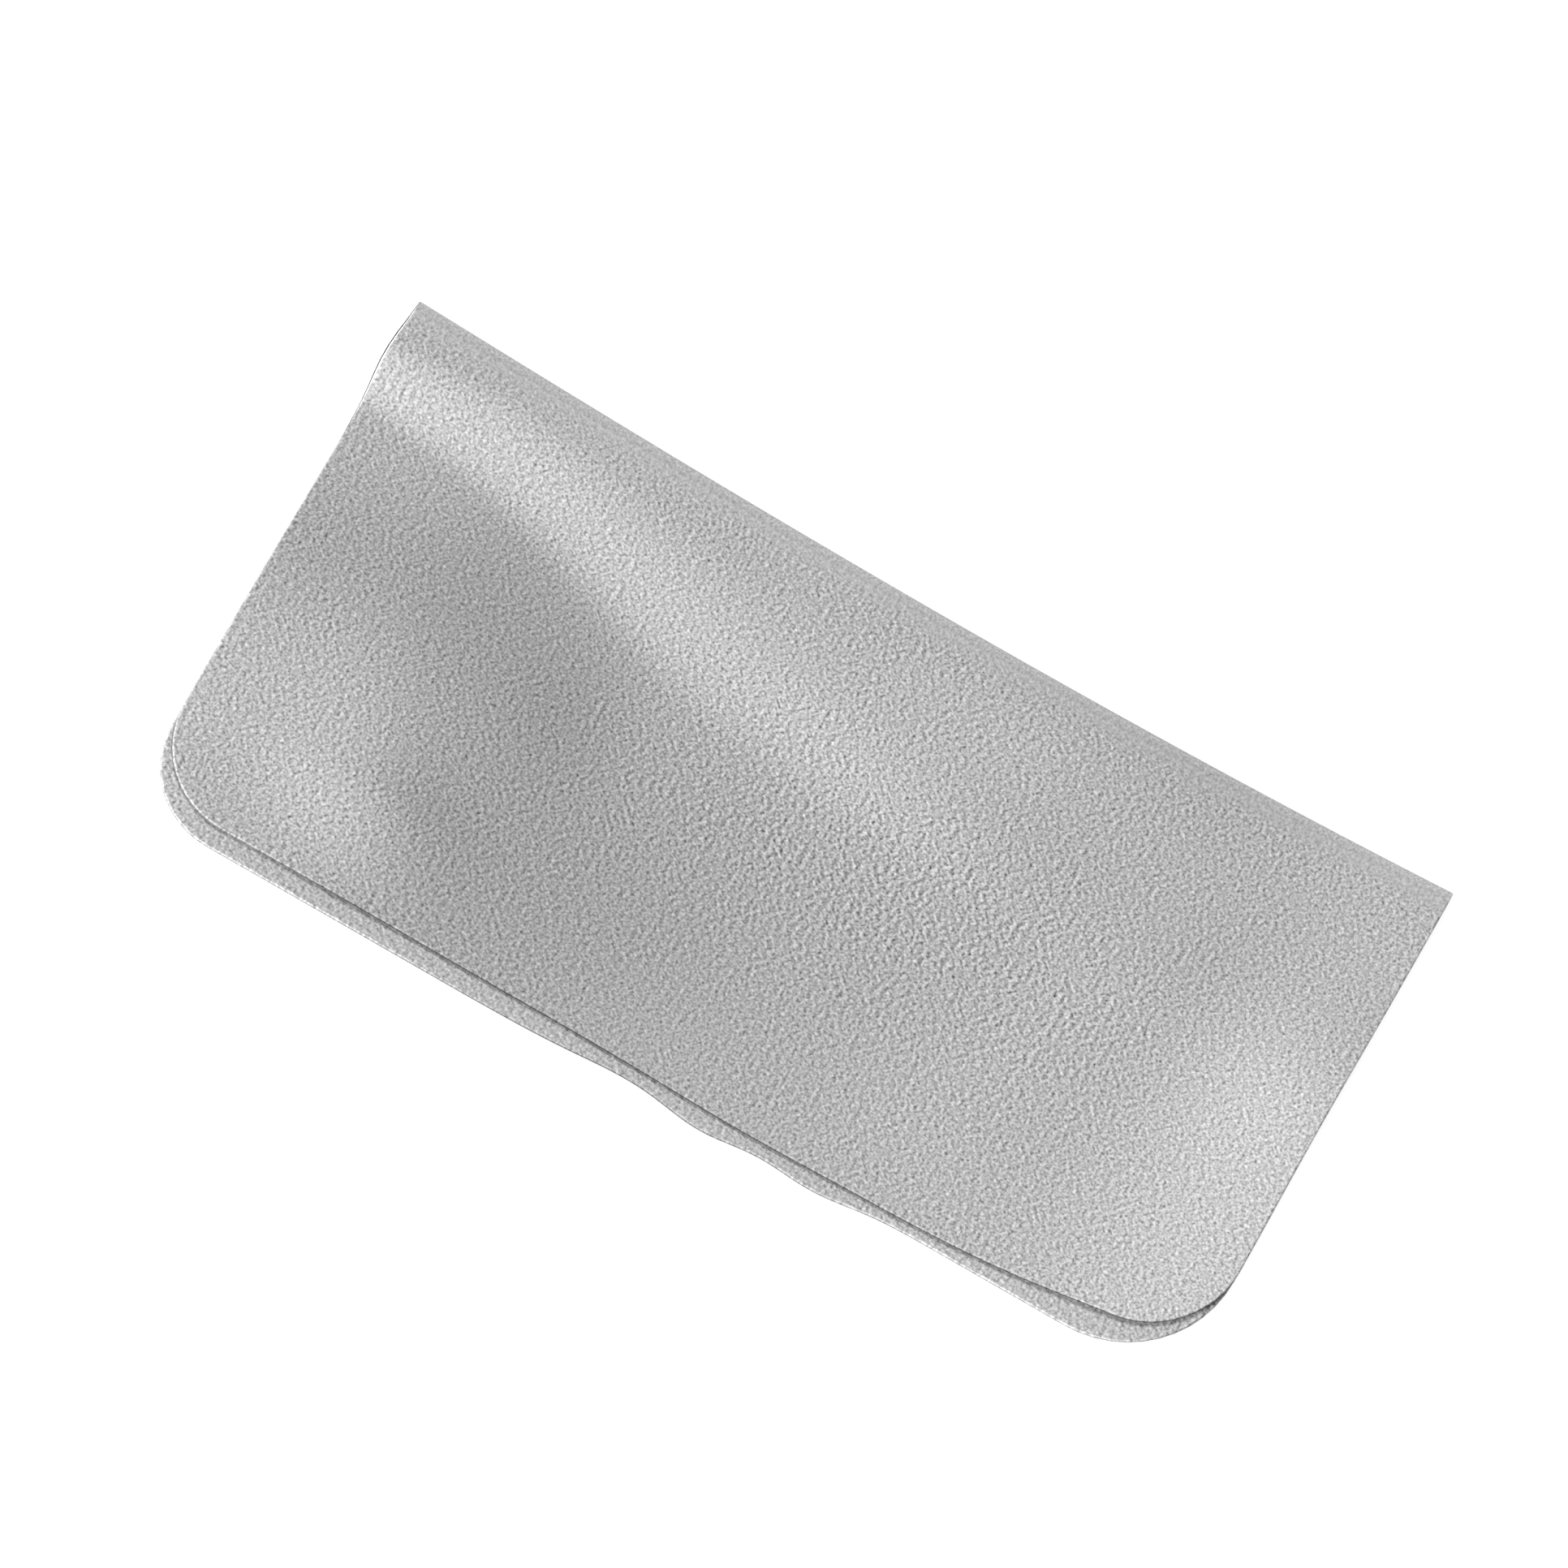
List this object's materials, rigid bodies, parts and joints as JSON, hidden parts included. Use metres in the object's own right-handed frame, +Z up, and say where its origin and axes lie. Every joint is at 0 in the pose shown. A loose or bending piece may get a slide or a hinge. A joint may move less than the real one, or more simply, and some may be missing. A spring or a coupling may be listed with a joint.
{
  "type": "chamois leather",
  "caption": "Soft chamois wiping cloth with rounded corners, folded in half over a loose rolled fold that opens out flat for use.",
  "frame": {"origin": "on the table, under the middle of the folded cloth's bounding box", "axes": "+X along the fold, +Y across it towards the fold, +Z up from the table"},
  "size_m": [0.16, 0.0802, 0.0046],
  "materials": {
    "suede_ply": "matt light grey suede with a fine pebbled grain",
    "white_core": "matt white felted core, seen only at the cut edge"
  },
  "bodies": {
    "lower_leaf": {"lower_leaf_outer_ply": "suede_ply", "lower_leaf_core": "white_core", "lower_leaf_inner_ply": "suede_ply"},
    "fold_strip_1": {"fold_strip_1_outer_ply": "suede_ply", "fold_strip_1_core": "white_core", "fold_strip_1_inner_ply": "suede_ply"},
    "fold_strip_2": {"fold_strip_2_outer_ply": "suede_ply", "fold_strip_2_core": "white_core", "fold_strip_2_inner_ply": "suede_ply"},
    "fold_strip_3": {"fold_strip_3_outer_ply": "suede_ply", "fold_strip_3_core": "white_core", "fold_strip_3_inner_ply": "suede_ply"},
    "fold_strip_4": {"fold_strip_4_outer_ply": "suede_ply", "fold_strip_4_core": "white_core", "fold_strip_4_inner_ply": "suede_ply"},
    "fold_strip_5": {"fold_strip_5_outer_ply": "suede_ply", "fold_strip_5_core": "white_core", "fold_strip_5_inner_ply": "suede_ply"},
    "upper_leaf": {"upper_leaf_outer_ply": "suede_ply", "upper_leaf_core": "white_core", "upper_leaf_inner_ply": "suede_ply"}
  },
  "joints": [
    {"name": "fold_line_1", "type": "hinge", "parent": "lower_leaf", "child": "fold_strip_1", "pos_m": [0, 0.03833, 0.00042], "axis": [-1, 0, 0], "range_deg": [0, 30]},
    {"name": "fold_line_2", "type": "hinge", "parent": "fold_strip_1", "child": "fold_strip_2", "pos_m": [0, 0.03921, 0.00093], "axis": [-1, 0, 0], "range_deg": [0, 30]},
    {"name": "fold_line_3", "type": "hinge", "parent": "fold_strip_2", "child": "fold_strip_3", "pos_m": [0, 0.03972, 0.00181], "axis": [-1, 0, 0], "range_deg": [0, 30]},
    {"name": "fold_line_4", "type": "hinge", "parent": "fold_strip_3", "child": "fold_strip_4", "pos_m": [0, 0.03972, 0.00283], "axis": [-1, 0, 0], "range_deg": [0, 30]},
    {"name": "fold_line_5", "type": "hinge", "parent": "fold_strip_4", "child": "fold_strip_5", "pos_m": [0, 0.03921, 0.00371], "axis": [-1, 0, 0], "range_deg": [0, 30]},
    {"name": "fold_line_6", "type": "hinge", "parent": "fold_strip_5", "child": "upper_leaf", "pos_m": [0, 0.03833, 0.00422], "axis": [-1, 0, 0], "range_deg": [0, 30]}
  ]
}
